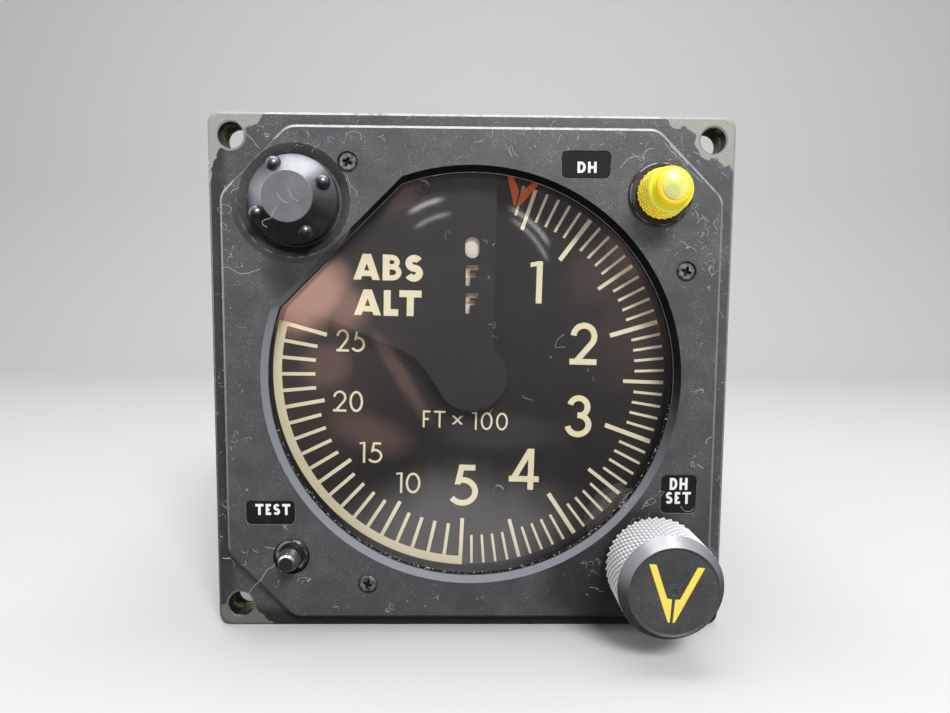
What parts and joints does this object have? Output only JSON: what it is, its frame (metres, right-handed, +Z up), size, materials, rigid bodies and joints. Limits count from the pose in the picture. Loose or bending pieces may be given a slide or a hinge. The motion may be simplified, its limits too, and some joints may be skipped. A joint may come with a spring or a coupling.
{
  "type": "radio altimeter indicator",
  "caption": "Square panel-mounted radio altimeter indicator: round dial behind glass, decision-height bug and knob, test button, lamps, warning flag, long case with rear connector.",
  "frame": {"origin": "centre of the bezel, on the flange's rear face, which lies against the panel", "axes": "+Y back through the panel along the case, -Y towards the pilot, +Z up, +X to the pilot's right"},
  "size_m": [0.0828, 0.1634, 0.0828],
  "materials": {
    "bezel_paint": "satin black paint, worn to bare metal at the corners",
    "case_paint": "satin black paint",
    "window_glass": "anti-reflection coated glass with a faint pink reflection",
    "seal_rubber": "matt black rubber",
    "dial_paint": "flat black paint",
    "screw_black": "black oxide",
    "label_black": "black with engraved white letters",
    "cap_black": "semi-gloss black paint on a turned cap",
    "lamp_brass": "turned brass",
    "bulb_glass": "clear bulb glass",
    "lens_yellow": "translucent yellow lens",
    "socket_dark": "black anodised metal",
    "button_black": "glossy black plastic",
    "knob_grey": "black paint worn grey on the knurl",
    "shaft_steel": "ground steel",
    "plate_alloy": "machined aluminium",
    "pointer_cream": "cream paint",
    "flag_white": "off-white paint",
    "bug_orange": "fluorescent orange paint",
    "pot_blue": "moulded plastic",
    "motor_grey": "plated housing",
    "board_green": "glass-fibre board",
    "coil_brown": "varnished core and winding",
    "sleeve_blue": "plastic sleeve",
    "connector_olive": "olive chromate",
    "pin_gold": "gold plate"
  },
  "bodies": {
    "housing": {"bezel": "bezel_paint", "case": "case_paint", "rear_cover": "case_paint", "window_glass": "window_glass", "glass_seal": "seal_rubber", "case_seal": "seal_rubber", "dial": "dial_paint", "dial_mask": "dial_paint", "glass_retainer": "dial_paint", "face_screws": "screw_black", "dial_screws": "screw_black", "mask_screws": "screw_black", "cover_screws": "screw_black", "label_dh": "label_black", "label_test": "label_black", "label_dh_set": "label_black", "lamp_cap": "cap_black", "lamp_holder": "lamp_brass", "knob_bushing": "lamp_brass", "front_bearing": "lamp_brass", "rear_bearing": "lamp_brass", "dial_lamp": "bulb_glass", "warning_bulb": "bulb_glass", "warning_lens": "lens_yellow", "warning_socket": "socket_dark", "test_collar": "socket_dark", "knob_nut": "socket_dark", "test_spring": "shaft_steel", "front_plate": "plate_alloy", "rear_plate": "plate_alloy", "plate_pillars": "plate_alloy", "board_spacers": "plate_alloy", "mask_spacers": "plate_alloy", "dh_potentiometer": "pot_blue", "feedback_potentiometer": "pot_blue", "test_switch": "pot_blue", "servo_motor": "motor_grey", "flag_actuator": "motor_grey", "servo_board": "board_green", "lamp_board": "board_green", "supply_board": "board_green", "transformer": "coil_brown", "capacitors": "sleeve_blue", "connector_shell": "connector_olive", "connector_pins": "pin_gold"},
    "setting_knob": {"dh_knob": "knob_grey", "knob_setscrew": "shaft_steel", "knob_shaft": "shaft_steel", "knob_pinion": "lamp_brass"},
    "bug": {"dh_bug": "bug_orange", "bug_ring": "plate_alloy"},
    "pointer": {"pointer": "pointer_cream", "pointer_shaft": "shaft_steel", "pointer_gear": "lamp_brass"},
    "motor_rotor": {"motor_pinion": "shaft_steel"},
    "warning_flag": {"off_flag": "flag_white", "flag_shaft": "shaft_steel"},
    "test_plunger": {"test_button": "button_black"}
  },
  "joints": [
    {"name": "knob_turn", "type": "hinge", "parent": "housing", "child": "setting_knob", "pos_m": [0.0292, 0, -0.0292], "axis": [0, 1, 0], "range_deg": [-1496, 78]},
    {"name": "bug_turn", "type": "hinge", "parent": "housing", "child": "bug", "pos_m": [0, 0, 0], "axis": [0, 1, 0], "range_deg": [-14.8, 269.3]},
    {"name": "pointer_turn", "type": "hinge", "parent": "housing", "child": "pointer", "pos_m": [0, 0, 0], "axis": [0, 1, 0], "range_deg": [-316, 0]},
    {"name": "motor_turn", "type": "hinge", "parent": "housing", "child": "motor_rotor", "pos_m": [-0.01879, 0, -0.00684], "axis": [0, 1, 0], "range_deg": [0, 1264]},
    {"name": "flag_swing", "type": "hinge", "parent": "housing", "child": "warning_flag", "pos_m": [-0.004, 0, 0.0286], "axis": [0, 1, 0], "range_deg": [0, 30], "stiffness_Nm_per_rad": 0.00002, "springref_deg": -28.65},
    {"name": "test_push", "type": "slide", "parent": "housing", "child": "test_plunger", "axis": [0, 1, 0], "range_m": [0, 0.0015], "stiffness_N_per_m": 800, "springref_m": -0.001, "deforming": ["test_spring"]}
  ],
  "couplings": [
    {"joint": "bug_turn", "follows": "knob_turn", "ratio": -0.18},
    {"joint": "motor_turn", "follows": "pointer_turn", "ratio": -4}
  ]
}
